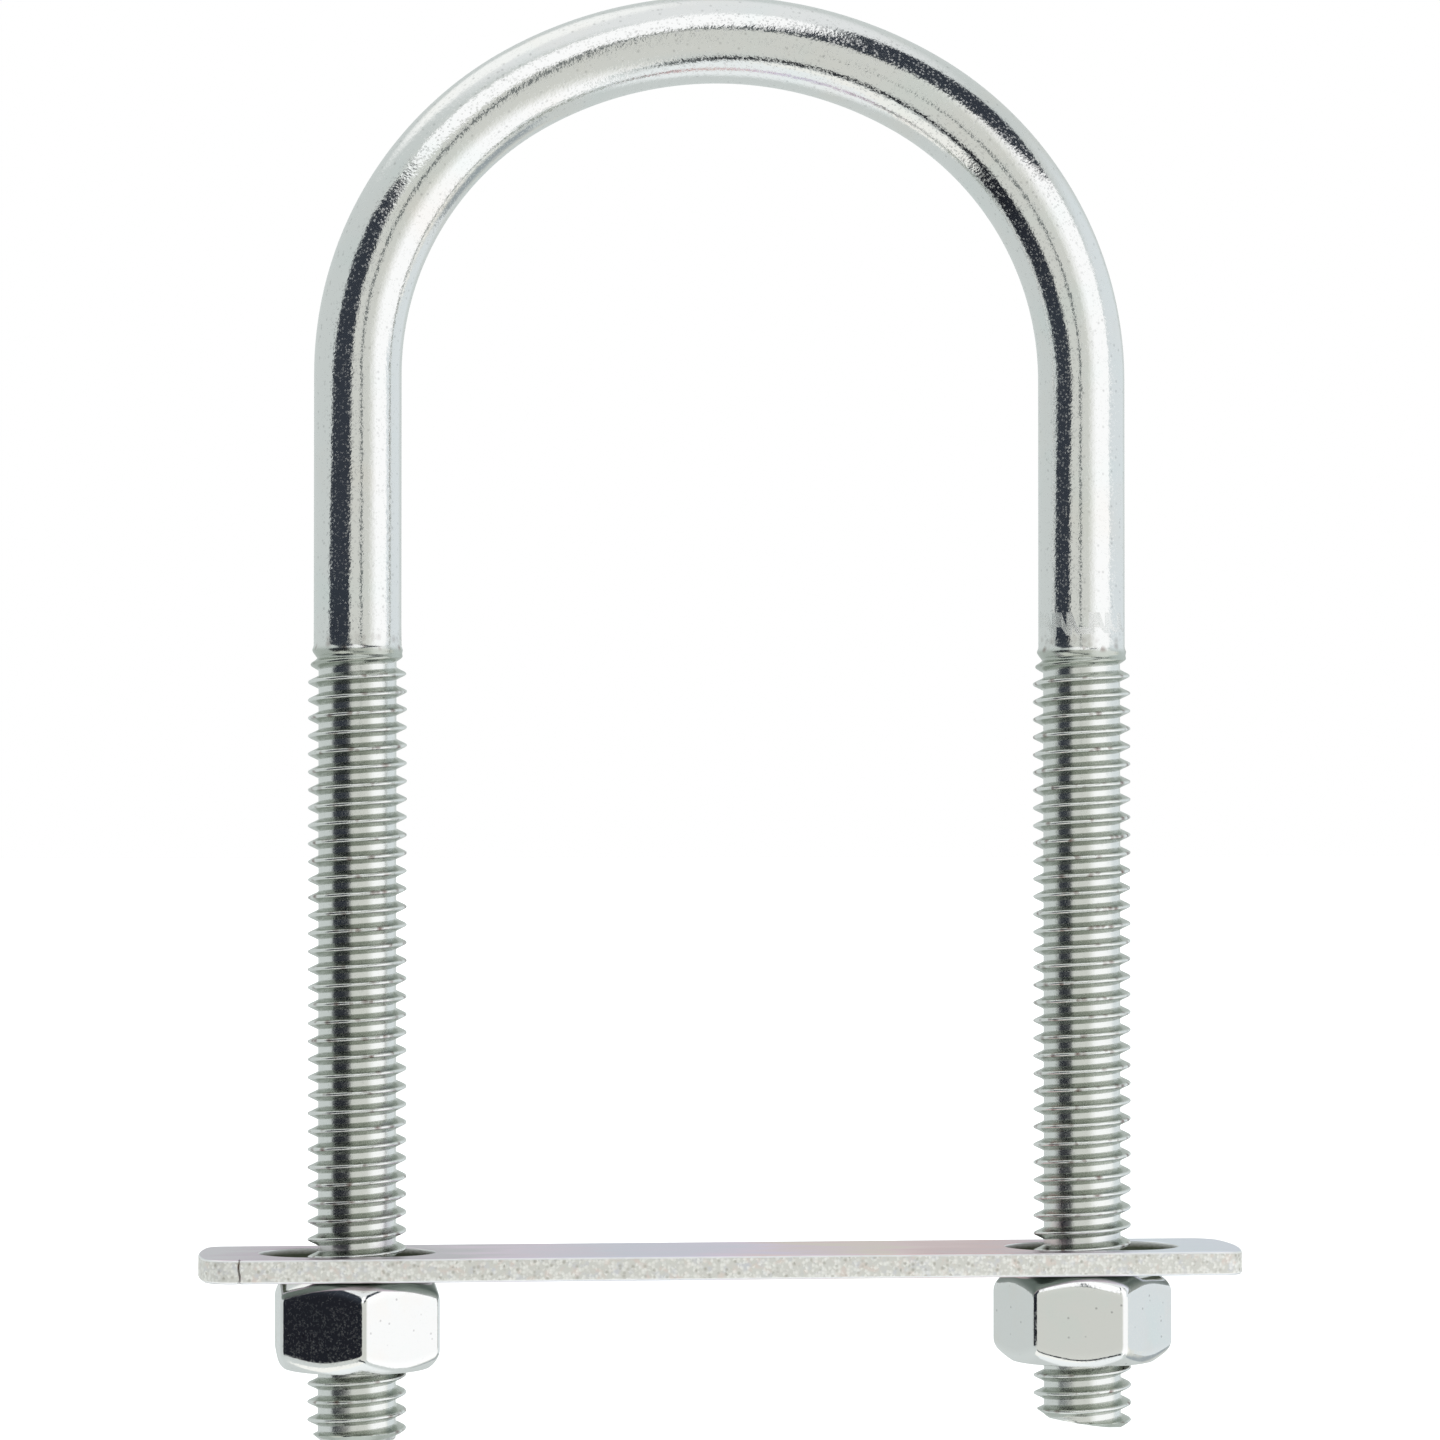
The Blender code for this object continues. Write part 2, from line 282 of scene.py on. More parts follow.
def wall_board(name, rows):
    """A wall close to the part through rows of (x, y, z, colour) points in mm, lowest row first."""
    places = [[Vector((x, y, z)) * MM for x, y, z, shade in row] for row in rows]
    shades = [[shade for x, y, z, shade in row] for row in rows]
    return studio_board(name, places, shades)


def sky_board(name, stations):
    """A board far from the part, laid out by compass turn and height, as stars are.

    Each station is (turn, low, high, colour) in degrees. Turn is 0 straight in front of the part
    and 90 on its right, and low and high are heights above the horizon.
    """
    rows = [[] for index in range(SKY_ROWS)]
    for turn, low, high, shade in stations:
        turn = math.radians(turn)
        for index, row in enumerate(rows):
            height = math.radians(low + (high - low) * index / (SKY_ROWS - 1))
            flat = math.cos(height)
            ray = Vector((math.sin(turn) * flat, -math.cos(turn) * flat, math.sin(height)))
            row.append(BEND_CENTRE + ray * SKY_DISTANCE)
    shades = [station[3] for station in stations]
    return studio_board(name, rows, [shades] * SKY_ROWS)


print("made", BOARD.name)

# %% Boards: where they stand
BEND_CENTRE = Vector((0.0, 0.0, cad_high.z - 12 * MM))
SKY_DISTANCE = 2.0
WHITE = room_colour(250, 251, 252)
BLACK = room_colour(31, 33, 39)
INK = room_colour(50, 55, 63)
DIM = room_colour(92, 98, 99)
GREY = room_colour(206, 208, 202)
CREAM = room_colour(236, 237, 233)
SLATE = room_colour(150, 158, 162)

wall_board("black_board_left", [
    [(-97, -13, -15, BLACK), (-91, -70, -13, BLACK), (-84, -158, -11, BLACK)],
    [(-97, -13, 15, BLACK), (-91, -70, 15, BLACK), (-84, -134, 15, BLACK)],
    [(-97, -13, 72, INK), (-91, -70, 72, INK), (-84, -130, 72, INK)],
    [(-97, -36, 106, INK), (-90, -80, 106, INK), (-66, -143, 106, INK)],
    [(-97, -42, 142, INK), (-88, -72, 157, INK), (-70, -140, 149, INK)],
])
wall_board("gap_in_front", [
    [(-14, -171, 64, DIM), (1, -171, 64, DIM)],
    [(-14, -171, 175, DIM), (1, -171, 175, DIM)],
])
wall_board("white_board_right", [
    [(57, -162, -125, GREY), (102, -122, -125, WHITE), (100, -70, -125, WHITE), (88, -23, -125, WHITE)],
    [(57, -162, 176, GREY), (102, -122, 172, WHITE), (100, -70, 159, WHITE), (88, -23, 143, WHITE)],
])
sky_board("white_board_low_right", [
    (68, -1, -46, WHITE), (84, -1, -46, WHITE), (93, -4, -46, WHITE), (99, -8, -46, CREAM),
    (105, -12, -42, GREY),
])
sky_board("black_board_above", [
    (1, 18, 21, GREY), (6, 20, 27, DIM), (12, 22, 34, INK), (20, 25, 42, INK),
    (30, 26, 52, INK), (40, 26, 59, INK), (50, 26, 63, INK), (57, 25, 64, INK),
    (64, 27, 61, INK), (71, 34, 57, INK), (78, 40, 51, INK), (83, 43, 48, SLATE),
])
sky_board("white_board_above", [
    (-42, 33, 40, WHITE), (-30, 27, 46, WHITE), (-15, 18, 50, WHITE), (-5, 17, 57, WHITE),
    (5, 27, 64, WHITE), (14, 36, 65, WHITE), (24, 47, 65, WHITE), (33, 56, 64, WHITE),
])
sky_board("black_board_below", [
    (-45, -27, -42, BLACK), (-36, -32, -45, BLACK), (-30, -39, -50, BLACK),
    (-23, -41.5, -51.5, BLACK), (-16, -44, -54, BLACK), (-8, -46, -55.5, BLACK),
    (0, -48.5, -58, BLACK), (8, -51, -60, BLACK), (16, -53.5, -62, BLACK),
    (24, -56, -64.5, DIM), (32, -59, -65.5, DIM), (40, -62, -66, GREY),
])
sky_board("cream_board_below", [
    (-115, -54, -68, CREAM), (-95, -49, -68, CREAM), (-75, -44, -68, CREAM), (-58, -39, -68, CREAM),
    (-50, -40, -68, CREAM), (-40, -51, -68, CREAM), (-15, -56, -68, CREAM), (5, -62, -69, CREAM),
])
sky_board("slate_board_behind", [
    (104, -24, -50, GREY), (114, -22, -50, SLATE), (128, -20, -42, SLATE), (150, -16, -34, GREY),
])

# %% The floor
FLOOR_REACH = 4.0
FLOOR_GLOW = 0.75


def pale_floor():
    """A wide pale floor that glows a little, so that it stays as bright as the backdrop."""
    reach = FLOOR_REACH
    mesh = bpy.data.meshes.new("floor")
    corners = [(-reach, -reach, 0), (reach, -reach, 0), (reach, reach, 0), (-reach, reach, 0)]
    mesh.from_pydata(corners, [], [(0, 1, 2, 3)])
    material = bpy.data.materials.new("pale_floor")
    material.use_nodes = True
    shader = material.node_tree.nodes["Principled BSDF"]
    shader.inputs["Base Color"].default_value = (0.8, 0.8, 0.8, 1.0)
    shader.inputs["Roughness"].default_value = 0.9
    shader.inputs["Specular IOR Level"].default_value = 0.1
    shader.inputs["Emission Color"].default_value = (1.0, 1.0, 1.0, 1.0)
    shader.inputs["Emission Strength"].default_value = FLOOR_GLOW
    material.cycles.emission_sampling = "NONE"
    mesh.materials.append(material)
    floor = bpy.data.objects.new("floor", mesh)
    floor.visible_glossy = False
    bpy.context.scene.collection.objects.link(floor)
    return floor


pale_floor()
print("floor laid at z = 0")

# %% [markdown]
# ## Shared effects for the plating
# Three effects turn up on all four pieces, so each is a shader node group with named sockets:
# a slow drift of tint across the plating, a fine orange-peel grain, and scattered specks and pits.
# A group hands out only a colour, a height or a mask. The Principled BSDF stays in the material,
# where its fixed numbers, such as Metallic, sit on its own sockets.

# %% Node group helpers
def new_group(name, inputs, outputs):
    """An empty shader node group with named sockets, and its two ends."""
    group = bpy.data.node_groups.new(name, "ShaderNodeTree")
    for label, kind, default in inputs:
        socket = group.interface.new_socket(name=label, in_out="INPUT", socket_type=kind)
        if default is not None:
            socket.default_value = default
    for label, kind in outputs:
        group.interface.new_socket(name=label, in_out="OUTPUT", socket_type=kind)
    start = group.nodes.new("NodeGroupInput").outputs
    end = group.nodes.new("NodeGroupOutput").inputs
    return group, start, end


def noise_node(tree, vector, scale, detail):
    """Noise texture with its vector and scale fed from sockets or numbers."""
    node = tree.nodes.new("ShaderNodeTexNoise")
    link_value(tree, vector, node.inputs["Vector"])
    link_value(tree, scale, node.inputs["Scale"])
    node.inputs["Detail"].default_value = detail
    return node.outputs["Fac"]


print("group helpers:", [tool.__name__ for tool in (new_group, noise_node)])

# %% Group 1: plating tint
def make_tint_group():
    """Base colour that drifts towards a warm and a cool tint in soft patches."""
    group, start, end = new_group(
        "plating_tint",
        [("Vector", "NodeSocketVector", None), ("Patch Scale", "NodeSocketFloat", 120.0),
         ("Amount", "NodeSocketFloat", 0.5), ("Zinc", "NodeSocketColor", (0.86, 0.86, 0.85, 1)),
         ("Warm", "NodeSocketColor", (0.88, 0.82, 0.76, 1)),
         ("Cool", "NodeSocketColor", (0.78, 0.86, 0.84, 1))],
        [("Color", "NodeSocketColor")],
    )
    colour = start["Zinc"]
    for label, offset in (("Warm", (0.0, 0.0, 0.0)), ("Cool", (0.31, 0.17, 0.53))):
        shifted = vector_math(group, "ADD", start["Vector"], offset)
        drift = noise_node(group, shifted, start["Patch Scale"], 3.0)
        mask = math_node(group, "MULTIPLY", map_range(group, drift, 0.5, 0.75), start["Amount"])
        colour = mixed(group, mask, colour, start[label])
    group.links.new(colour, end["Color"])
    return group


TINT = make_tint_group()
print("made", TINT.name)

# %% Group 2: orange-peel grain
def make_grain_group():
    """Height of the plating's fine grain: a soft peel with a finer grit on top."""
    group, start, end = new_group(
        "plating_grain",
        [("Vector", "NodeSocketVector", None), ("Peel Scale", "NodeSocketFloat", 1800.0),
         ("Grit Scale", "NodeSocketFloat", 6000.0), ("Grit", "NodeSocketFloat", 0.35)],
        [("Height", "NodeSocketFloat")],
    )
    peel = noise_node(group, start["Vector"], start["Peel Scale"], 1.0)
    grit = noise_node(group, start["Vector"], start["Grit Scale"], 1.0)
    grit_height = math_node(group, "MULTIPLY", grit, start["Grit"])
    height = math_node(group, "ADD", peel, grit_height)
    group.links.new(height, end["Height"])
    return group


GRAIN = make_grain_group()
print("made", GRAIN.name)

# %% Group 3: specks and pits
def make_speck_group():
    """Mask of small round specks, 1 at the middle of each, with a share of cells left empty."""
    group, start, end = new_group(
        "plating_specks",
        [("Vector", "NodeSocketVector", None), ("Scale", "NodeSocketFloat", 1500.0),
         ("Size", "NodeSocketFloat", 0.25), ("Share", "NodeSocketFloat", 0.2)],
        [("Mask", "NodeSocketFloat")],
    )
    cells = group.nodes.new("ShaderNodeTexVoronoi")
    group.links.new(start["Vector"], cells.inputs["Vector"])
    group.links.new(start["Scale"], cells.inputs["Scale"])
    inside = math_node(group, "SUBTRACT", start["Size"], cells.outputs["Distance"])
    disc = math_node(group, "DIVIDE", inside, start["Size"], clamp=True)
    pick = group.nodes.new("ShaderNodeSeparateColor")
    group.links.new(cells.outputs["Color"], pick.inputs["Color"])
    chosen = math_node(group, "LESS_THAN", pick.outputs["Red"], start["Share"])
    mask = math_node(group, "MULTIPLY", disc, chosen)
    group.links.new(mask, end["Mask"])
    return group


SPECKS = make_speck_group()
print("made", SPECKS.name)

# %% Helpers for the three finishes
def place_group(tree, group, **values):
    """Put a node group in a material and set its inputs by name; underscores stand for spaces."""
    node = tree.nodes.new("ShaderNodeGroup")
    node.node_tree = group
    for label, value in values.items():
        link_value(tree, value, node.inputs[label.replace("_", " ")])
    return node


def metal_material(name):
    """A material whose Principled BSDF is set to metal; returns it with its tree and shader."""
    material = bpy.data.materials.new(name)
    material.use_nodes = True
    tree = material.node_tree
    shader = tree.nodes["Principled BSDF"]
    shader.inputs["Metallic"].default_value = 1.0
    return material, tree, shader


def attribute(tree, name, output="Fac"):
    """A value or vector stored on the mesh."""
    node = tree.nodes.new("ShaderNodeAttribute")
    node.attribute_name = name
    return node.outputs[output]


def bump(tree, height, distance, below=None):
    """A Bump node at full strength, stacked on another one's normal if one is given."""
    node = tree.nodes.new("ShaderNodeBump")
    node.inputs["Strength"].default_value = 1.0
    node.inputs["Distance"].default_value = distance
    tree.links.new(height, node.inputs["Height"])
    if below is not None:
        tree.links.new(below, node.inputs["Normal"])
    return node.outputs["Normal"]


SPECK_GREY = (0.30, 0.30, 0.30, 1)
print("finish helpers:", [tool.__name__ for tool in (place_group, metal_material, attribute, bump)])

# %% [markdown]
# ## The bent rod
# The rod is one round bar. Each leg carries a rolled thread, and the bend is three arcs that meet
# without a kink. A thread could be a texture, a Screw modifier or a lattice made in code. The
# lattice is used here: its rows follow the helix, so crests and roots stay sharp lines from the
# tip to the run-out and nothing is stepped. The shank and bend are rings swept along the route.
# Two attributes go on the mesh for the finish: `groove`, which is 1 down in a root, and
# `straight`, the place that each point would have if the rod were unbent.

# %% Rod dimensions
ROD_RADIUS = 3.44 * MM
PITCH = 25.4 / 18 * MM
CREST_RADIUS = 3.88 * MM
ROOT_RADIUS = 3.06 * MM
THREAD_START = 0.5 * MM
THREAD_END = 62.3 * MM
CREST_FADE = 2.1 * MM
ROOT_FADE = 0.75 * MM
COLLAR_HEIGHT = 0.11 * MM
COLLAR_WIDTH = 0.22 * MM
SHANK_START = 64.2 * MM
TIP_FLARE = 1.2  # how fast a tip's chamfer widens with height
STEPS = 48
CROWN_RADIUS = 31.7 * MM
SHOULDER_RADIUS = 26.1 * MM
CROWN_TOP = cad_high.z - ROD_RADIUS
ARC_STEP = math.radians(1.5)
SHANK_STEP = 1.2 * MM
ROOT_FLAT = 0.15
FLANK_RUN = 0.3
ROW_PLACES = [0.0, 0.1, 0.15, 0.18, 0.22, 0.28, 0.34, 0.4, 0.43, 0.47,
              0.53, 0.57, 0.6, 0.66, 0.72, 0.78, 0.82, 0.85, 0.9]
print("rod radius", ROD_RADIUS / MM, "mm, thread pitch", round(PITCH / MM, 4), "mm")

# %% The thread's profile
def smooth(value):
    """Smoothstep between 0 and 1."""
    value = max(0.0, min(1.0, value))
    return value * value * (3 - 2 * value)


def ridge_share(place):
    """How far up the flank a point is: 0 in the root, 1 on the crest, for a place in the pitch."""
    from_root = min(place, 1 - place)
    climb = max(0.0, min(1.0, (from_root - ROOT_FLAT) / FLANK_RUN))
    return 0.7 * climb + 0.3 * smooth(climb)


def leg_radius(place, z, chamfer):
    """Rod radius at a height, with the run-out under the shank, held inside the tip's chamfer."""
    crest_share = max(0.0, min(1.0, (THREAD_END - z) / CREST_FADE))
    root_share = smooth((THREAD_END - 0.15 * MM - z) / ROOT_FADE)
    crest = ROD_RADIUS + (CREST_RADIUS - ROD_RADIUS) * crest_share
    root = ROD_RADIUS + (ROOT_RADIUS - ROD_RADIUS) * root_share
    radius = root + (crest - root) * ridge_share(place)
    collar = math.exp(-(((z - THREAD_END) / COLLAR_WIDTH) ** 2))
    radius += COLLAR_HEIGHT * collar
    return min(radius, chamfer)


print("radius on a crest and in a root, mm:",
      [round(leg_radius(place, 30 * MM, 1.0) / MM, 2) for place in (0.5, 0.0)])

# %% A lattice that follows a helix
def bridge(bm, rings):
    """Quads between neighbouring rings."""
    for lower, upper in zip(rings, rings[1:]):
        for step in range(len(lower)):
            after = (step + 1) % len(lower)
            bm.faces.new((lower[step], lower[after], upper[after], upper[step]))


def helical_lattice(bm, make_vert, z_at_zero, first_step, last_step, row_places):
    """Vertices whose rows climb a right-hand helix, joined by quads.

    make_vert(angle, z, place) makes one vertex. Returns the open bottom and top ends: a turn of
    row 0, the upright column that closes the step in it, and the step where that turn starts.
    """
    rows = []
    for index, place in enumerate(row_places):
        last = last_step + STEPS if index == 0 else last_step
        row = []
        for step in range(first_step, last + 1):
            angle = 2 * math.pi * step / STEPS
            z = z_at_zero + PITCH * (step / STEPS + place)
            row.append(make_vert(angle, z, place))
        rows.append(row)
    count = last_step - first_step
    for lower, upper in zip(rows, rows[1:]):
        for step in range(count):
            bm.faces.new((lower[step], lower[step + 1], upper[step + 1], upper[step]))
    for step in range(count):
        after = step + STEPS
        bm.faces.new((rows[-1][step], rows[-1][step + 1], rows[0][after + 1], rows[0][after]))
    bottom = (rows[0][: STEPS + 1], [row[0] for row in rows] + [rows[0][STEPS]], first_step)
    top_column = [row[count] for row in rows] + [rows[0][count + STEPS]]
    top = (rows[0][count:], top_column, last_step)
    return bottom, top


def close_lattice(bm, end, flat_ring):
    """Join an end of a lattice to a flat ring with a vertex at each of its angles."""
    turn, column, first_step = end
    for step in range(STEPS):
        here = flat_ring[(first_step + step) % STEPS]
        after = flat_ring[(first_step + step + 1) % STEPS]
        bm.faces.new((here, after, turn[step + 1], turn[step]))
    bm.faces.new([flat_ring[first_step % STEPS]] + column)


print("a turn of the leg's thread has", STEPS * len(ROW_PLACES), "quads")

# %% The bend's route: two shoulders and a flatter crown
RADIUS_STEP = CROWN_RADIUS - SHOULDER_RADIUS
CROWN_HALF_ANGLE = math.asin((LEG_X - SHOULDER_RADIUS) / RADIUS_STEP)
CROWN_CENTRE_Z = CROWN_TOP - CROWN_RADIUS
SHOULDER_CENTRE_Z = CROWN_CENTRE_Z + RADIUS_STEP * math.cos(CROWN_HALF_ANGLE)


def right_half_route():
    """(centre, outward direction) from the top of the crown down to the right shank."""
    route = []
    crown_steps = math.ceil(CROWN_HALF_ANGLE / ARC_STEP)
    for step in range(crown_steps):
        angle = CROWN_HALF_ANGLE * step / crown_steps
        outward = Vector((math.sin(angle), 0, math.cos(angle)))
        route.append((Vector((0, 0, CROWN_CENTRE_Z)) + CROWN_RADIUS * outward, outward))
    shoulder_steps = math.ceil((math.pi / 2 - CROWN_HALF_ANGLE) / ARC_STEP)
    shoulder_centre = Vector((LEG_X - SHOULDER_RADIUS, 0, SHOULDER_CENTRE_Z))
    for step in range(shoulder_steps + 1):
        turned = (math.pi / 2 - CROWN_HALF_ANGLE) * step / shoulder_steps
        angle = CROWN_HALF_ANGLE + turned
        outward = Vector((math.sin(angle), 0, math.cos(angle)))
        route.append((shoulder_centre + SHOULDER_RADIUS * outward, outward))
    shank_steps = math.ceil((SHOULDER_CENTRE_Z - SHANK_START) / SHANK_STEP)
    for step in range(1, shank_steps + 1):
        z = SHOULDER_CENTRE_Z + (SHANK_START - SHOULDER_CENTRE_Z) * step / shank_steps
        route.append((Vector((LEG_X, 0, z)), Vector((1, 0, 0))))
    return route


def rod_route():
    """The whole route from the left shank over the crown to the right shank."""
    right = right_half_route()
    left = [(Vector((-c.x, 0, c.z)), Vector((-o.x, 0, o.z))) for c, o in right[:0:-1]]
    return left + right


print("the route has", len(rod_route()), "stations")

# %% Build the rod
LEFT_TIP = (0.0, 0.0, 2.5 * MM, 0.15 * MM)
RIGHT_TIP = (1.08 * MM, -0.135, 3.1 * MM, 0.25 * MM)


def threaded_leg(side, tip_height, tip_slope, tip_radius, roughness):
    """One leg as its own bmesh: thread, chamfered tip cut by a plane, and a flat ring on top.

    The plane crosses the leg's axis at tip_height and climbs to the right by tip_slope. The
    chamfer is tip_radius wide at the cut, give or take the roughness.
    """
    bm = bmesh.new()
    groove = bm.verts.layers.float.new("groove")
    straight = bm.verts.layers.float_vector.new("straight")
    axis_x = side * LEG_X

    def make_vert(angle, z, place):
        """A vertex of this leg, with its attributes, held inside the ragged tip chamfer."""
        cut_z = tip_height + tip_slope * CREST_RADIUS * math.cos(angle)
        ragged = roughness * noise.noise(Vector((math.cos(angle) * 3, math.sin(angle) * 3, z / MM)))
        above_tip = max(-0.2 * MM, z - cut_z)
        radius = leg_radius(place, z, tip_radius + TIP_FLARE * above_tip + ragged)
        vert = bm.verts.new((axis_x + radius * math.cos(angle), radius * math.sin(angle), z))
        share = (CREST_RADIUS - radius) / (CREST_RADIUS - ROOT_RADIUS)
        vert[groove] = share * smooth((THREAD_END - z) / MM + 0.5)
        vert[straight] = (side * radius * math.cos(angle), radius * math.sin(angle), z)
        return vert

    turns = math.ceil((THREAD_END - THREAD_START) / PITCH)
    bottom, top = helical_lattice(
        bm, make_vert, THREAD_START, -3 * STEPS, turns * STEPS, ROW_PLACES)
    shank_ring = []
    for step in range(STEPS):
        angle = 2 * math.pi * step / STEPS
        shank_ring.append(make_vert(angle, SHANK_START, 0.0))
    close_lattice(bm, top, shank_ring)
    everything = bm.verts[:] + bm.edges[:] + bm.faces[:]
    cut = bmesh.ops.bisect_plane(
        bm, geom=everything, plane_co=(axis_x, 0, tip_height),
        plane_no=(-tip_slope, 0, 1), clear_inner=True)
    rim = [item for item in cut["geom_cut"] if isinstance(item, bmesh.types.BMEdge)]
    bmesh.ops.triangle_fill(bm, edges=rim, use_beauty=True)
    return bm


def join_bmesh(target, source):
    """Copy a bmesh into another one through a temporary mesh, attributes included."""
    carrier = bpy.data.meshes.new("carrier")
    source.to_mesh(carrier)
    source.free()
    target.from_mesh(carrier)
    bpy.data.meshes.remove(carrier)


def finish_piece(name, bm, material, sharp_degrees):
    """Turn a bmesh into a shaded object in the scene."""
    bmesh.ops.remove_doubles(bm, verts=bm.verts, dist=1e-7)
    bmesh.ops.recalc_face_normals(bm, faces=bm.faces)
    mesh = bpy.data.meshes.new(name)
    bm.to_mesh(mesh)
    bm.free()
    mesh.materials.append(material)
    mesh.shade_smooth()
    mesh.set_sharp_from_angle(angle=math.radians(sharp_degrees))
    piece = bpy.data.objects.new(name, mesh)
    bpy.context.scene.collection.objects.link(piece)
    triangles = sum(len(polygon.vertices) - 2 for polygon in mesh.polygons)
    print(name, "has", triangles, "triangles")
    return piece


def make_rod(material):
    """The bent rod: two threaded legs and the swept shank and bend between them."""
    bm = bmesh.new()
    groove = bm.verts.layers.float.new("groove")
    straight = bm.verts.layers.float_vector.new("straight")
    route = rod_route()
    length = SHANK_START
    rings = []
    for index, (centre, outward) in enumerate(route):
        if index > 0:
            length += (centre - route[index - 1][0]).length
        ring = []
        for step in range(STEPS):
            angle = 2 * math.pi * step / STEPS
            across = ROD_RADIUS * math.cos(angle)
            away = ROD_RADIUS * math.sin(angle)
            vert = bm.verts.new(centre + across * outward + Vector((0, away, 0)))
            vert[straight] = (across, away, length)
            ring.append(vert)
        rings.append(ring)
    bridge(bm, rings)
    join_bmesh(bm, threaded_leg(-1, *LEFT_TIP))
    join_bmesh(bm, threaded_leg(1, *RIGHT_TIP))
    return finish_piece("bent_rod", bm, material, 50)


print("the right tip is cut at", round(math.degrees(math.atan(RIGHT_TIP[1])), 1), "degrees")

# %% [markdown]
# ## The rod's finish
# Bright zinc on drawn bar: nearly a mirror, with a soft orange peel that breaks up the edges of
# the dark bands, a scatter of fine specks and frosted spots, and lines left by drawing that run
# along the bar. The threads are rolled: their flanks carry painted shade, a darker, greener colour
# than their crests and roots, the reflections in them are softer, and brown flecks sit on the crests.

# %% Rod material
THREAD_BRIGHT = (0.84, 0.85, 0.83, 1)
# Painted shade: the darker, greener colour of the thread's flanks.
FLANK_PAINTED_SHADE = (0.53, 0.56, 0.51, 1)
FLECK_BROWN = (0.20, 0.13, 0.11, 1)


def rod_finish():
    """Bright zinc peppered with frosted specks, with painted shade on the thread's flanks and brown
    flecks on its crests.
    """
    material, tree, shader = metal_material("rod_zinc_finish")
    place = attribute(tree, "straight", "Vector")
    groove = attribute(tree, "groove")
    along = tree.nodes.new("ShaderNodeSeparateXYZ")
    tree.links.new(place, along.inputs["Vector"])
    threaded = map_range(tree, along.outputs["Z"], THREAD_END + 1.8 * MM, THREAD_END - 0.6 * MM)
    tint = place_group(tree, TINT, Vector=place, Patch_Scale=160.0, Amount=0.35)
    # Painted shade: the flanks, down between the crests, are darkened.
    off_middle = math_node(tree, "ABSOLUTE", math_node(tree, "SUBTRACT", groove, 0.5))
    flank = map_range(tree, off_middle, 0.48, 0.25)
    thread_colour = mixed(tree, flank, THREAD_BRIGHT, FLANK_PAINTED_SHADE)
    colour = mixed(tree, threaded, tint.outputs["Color"], thread_colour)
    flecks = place_group(tree, SPECKS, Vector=place, Scale=1800.0, Size=0.75, Share=0.3)
    on_crest = math_node(tree, "MULTIPLY", threaded, map_range(tree, groove, 0.4, 0.1))
    fleck_mask = math_node(tree, "MULTIPLY", flecks.outputs["Mask"], on_crest)
    colour = mixed(tree, fleck_mask, colour, FLECK_BROWN)
    specks = place_group(tree, SPECKS, Vector=place, Scale=2600.0, Size=0.4, Share=0.16)
    speck_depth = map_range(tree, threaded, 0.0, 1.0, 0.5, 0.15)
    dark = math_node(tree, "MULTIPLY", specks.outputs["Mask"], speck_depth)
    colour = mixed(tree, dark, colour, SPECK_GREY)
    tree.links.new(colour, shader.inputs["Base Color"])
    frost = place_group(tree, SPECKS, Vector=place, Scale=5000.0, Size=0.75, Share=0.5)
    frost_depth = map_range(tree, threaded, 0.0, 1.0, 1.0, 0.45)
    frosted = math_node(tree, "MULTIPLY", frost.outputs["Mask"], frost_depth)
    frost_rough = map_range(tree, frosted, 0.1, 0.75, 0.1, 0.36)
    thread_rough = map_range(tree, threaded, 0.0, 1.0, 0.0, 0.12)
    tree.links.new(math_node(tree, "ADD", frost_rough, thread_rough), shader.inputs["Roughness"])
    along_bar = vector_math(tree, "MULTIPLY", place, (1.0, 1.0, 0.02))
    drawn = noise_node(tree, along_bar, 5000.0, 2.0)
    lines = bump(tree, drawn, 1.6e-6)
    grain = place_group(tree, GRAIN, Vector=place, Peel_Scale=1700.0, Grit_Scale=5600.0, Grit=0.7)
    calm = map_range(tree, threaded, 0.0, 1.0, 1.0, 0.35)
    peel_height = math_node(tree, "MULTIPLY", grain.outputs["Height"], calm)
    peel = bump(tree, peel_height, 1.2e-5, below=lines)
    tree.links.new(peel, shader.inputs["Normal"])
    return material


bent_rod = make_rod(rod_finish())

# %% [markdown]
# ## The slotted strap
# The strap is punched from flat bar. Its long edges are cut and grainy, its corners are rounded,
# one diagonal pair more than the other, and each leg passes through a slot with half-round ends.
# It is built from outlines: the same outline drawn again a little smaller gives the ring where a
# rounded edge ends, so every edge gets a true quarter-round instead of a Bevel modifier. Along the
# front edge, close to the left end, the steel has torn when it was cut. That is a narrow notch in
# the mesh, not a texture.

# %% Strap dimensions
HALF_LENGTH = 41.25 * MM
HALF_WIDTH = 6.35 * MM
END_BOW = 0.8 * MM
BOW_RADIUS = (HALF_WIDTH ** 2 + END_BOW ** 2) / (2 * END_BOW)
TIGHT_CORNER = 1.5 * MM
EASY_CORNER = 2.45 * MM
EDGE_RADIUS = 0.24 * MM
SLOT_EDGE_RADIUS = 0.14 * MM
SLOT_HALF_LENGTH = 6.95 * MM
SLOT_RADIUS = 4.45 * MM
SLOT_X = 29.6 * MM
TEAR_X = -38.1 * MM
TEAR_DEPTH = 0.7 * MM
TEAR_HALF_WIDTH = 0.075 * MM
EDGE_STEP = 0.32 * MM
EDGE_GRAIN = 0.02 * MM
print("strap is", round((plate_high.z - plate_low.z) / MM, 2), "mm thick")


# %% Strap outlines
def arc(centre_x, centre_y, radius, first, last, steps):
    """Points on an arc, both ends included."""
    points = []
    for step in range(steps + 1):
        angle = first + (last - first) * step / steps
        points.append((centre_x + radius * math.cos(angle), centre_y + radius * math.sin(angle)))
    return points


